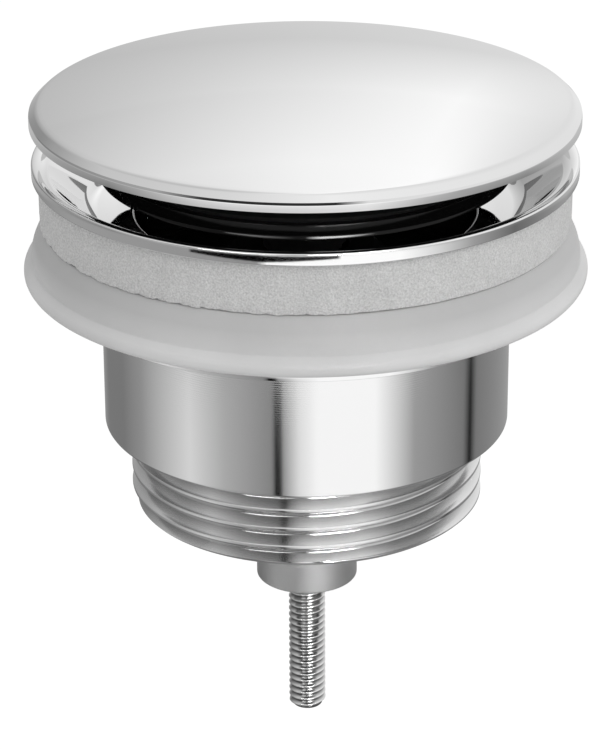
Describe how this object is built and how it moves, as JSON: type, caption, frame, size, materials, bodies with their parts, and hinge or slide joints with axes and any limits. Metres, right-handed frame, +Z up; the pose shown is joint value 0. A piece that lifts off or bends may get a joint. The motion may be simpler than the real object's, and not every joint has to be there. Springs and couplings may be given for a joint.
{
  "type": "pop up basin waste",
  "caption": "Unslotted push-open basin waste: domed chrome cap on a sprung latching plug, dished flange, foam and cone seals, threaded G 1 1/4 outlet body clamped by a long central screw.",
  "frame": {"origin": "on the axis, in the plane of the rim's underside, which clamps the foam washer on the basin", "axes": "+Z up along the axis, from the outlet towards the cap; the waste is round, and +X is the side of the cartridge where the latch pin sits"},
  "size_m": [0.0658, 0.0658, 0.0819],
  "materials": {
    "chrome": "polished chrome plate on brass",
    "turned_chrome": "chrome plate over fine turning marks",
    "brass": "bare cast and turned",
    "screw_steel": "bright rolled thread",
    "spring_steel": "stainless, plain",
    "black_rubber": "moulded, slight sheen",
    "black_plastic": "moulded, slight sheen",
    "white_plastic": "moulded acetal",
    "foam": "closed-cell foam, grainy cut edge",
    "silicone": "smooth, milky translucent"
  },
  "bodies": {
    "inlet": {"inlet_flange": "chrome", "foam_seal": "foam", "inlet_spider": "black_plastic", "cartridge_housing": "black_plastic", "cartridge_oring": "black_rubber", "return_spring": "spring_steel"},
    "plug": {"plug_cap": "chrome", "plug_carrier": "black_plastic", "plug_seal": "black_rubber", "seal_washer": "spring_steel", "stud_nut": "brass", "cap_stud": "spring_steel", "plunger": "white_plastic"},
    "latch": {"latch_pin": "spring_steel"},
    "screw": {"clamp_screw": "screw_steel", "screw_washer": "spring_steel"},
    "outlet": {"outlet_body": "turned_chrome", "cone_seal": "silicone", "slip_ring": "turned_chrome"}
  },
  "joints": [
    {"name": "plug_slide", "type": "slide", "parent": "inlet", "child": "plug", "axis": [0, 0, 1], "range_m": [-0.0044, 0], "stiffness_N_per_m": 400, "springref_m": 0.01, "deforming": ["return_spring"]},
    {"name": "latch_swing", "type": "hinge", "parent": "inlet", "child": "latch", "pos_m": [0, 0, -0.02342], "axis": [1, 0, 0], "range_deg": [0, 13]},
    {"name": "screw_turn", "type": "hinge", "parent": "inlet", "child": "screw", "pos_m": [0, 0, 0], "axis": [0, 0, 1], "range_deg": [0, 6825]},
    {"name": "clamp_travel", "type": "slide", "parent": "inlet", "child": "outlet", "axis": [0, 0, -1], "range_m": [0, 0.0161]}
  ],
  "couplings": [
    {"joint": "latch_swing", "follows": "plug_slide", "rad_per_m": -49.8},
    {"joint": "screw_turn", "follows": "clamp_travel", "rad_per_m": 7392}
  ]
}
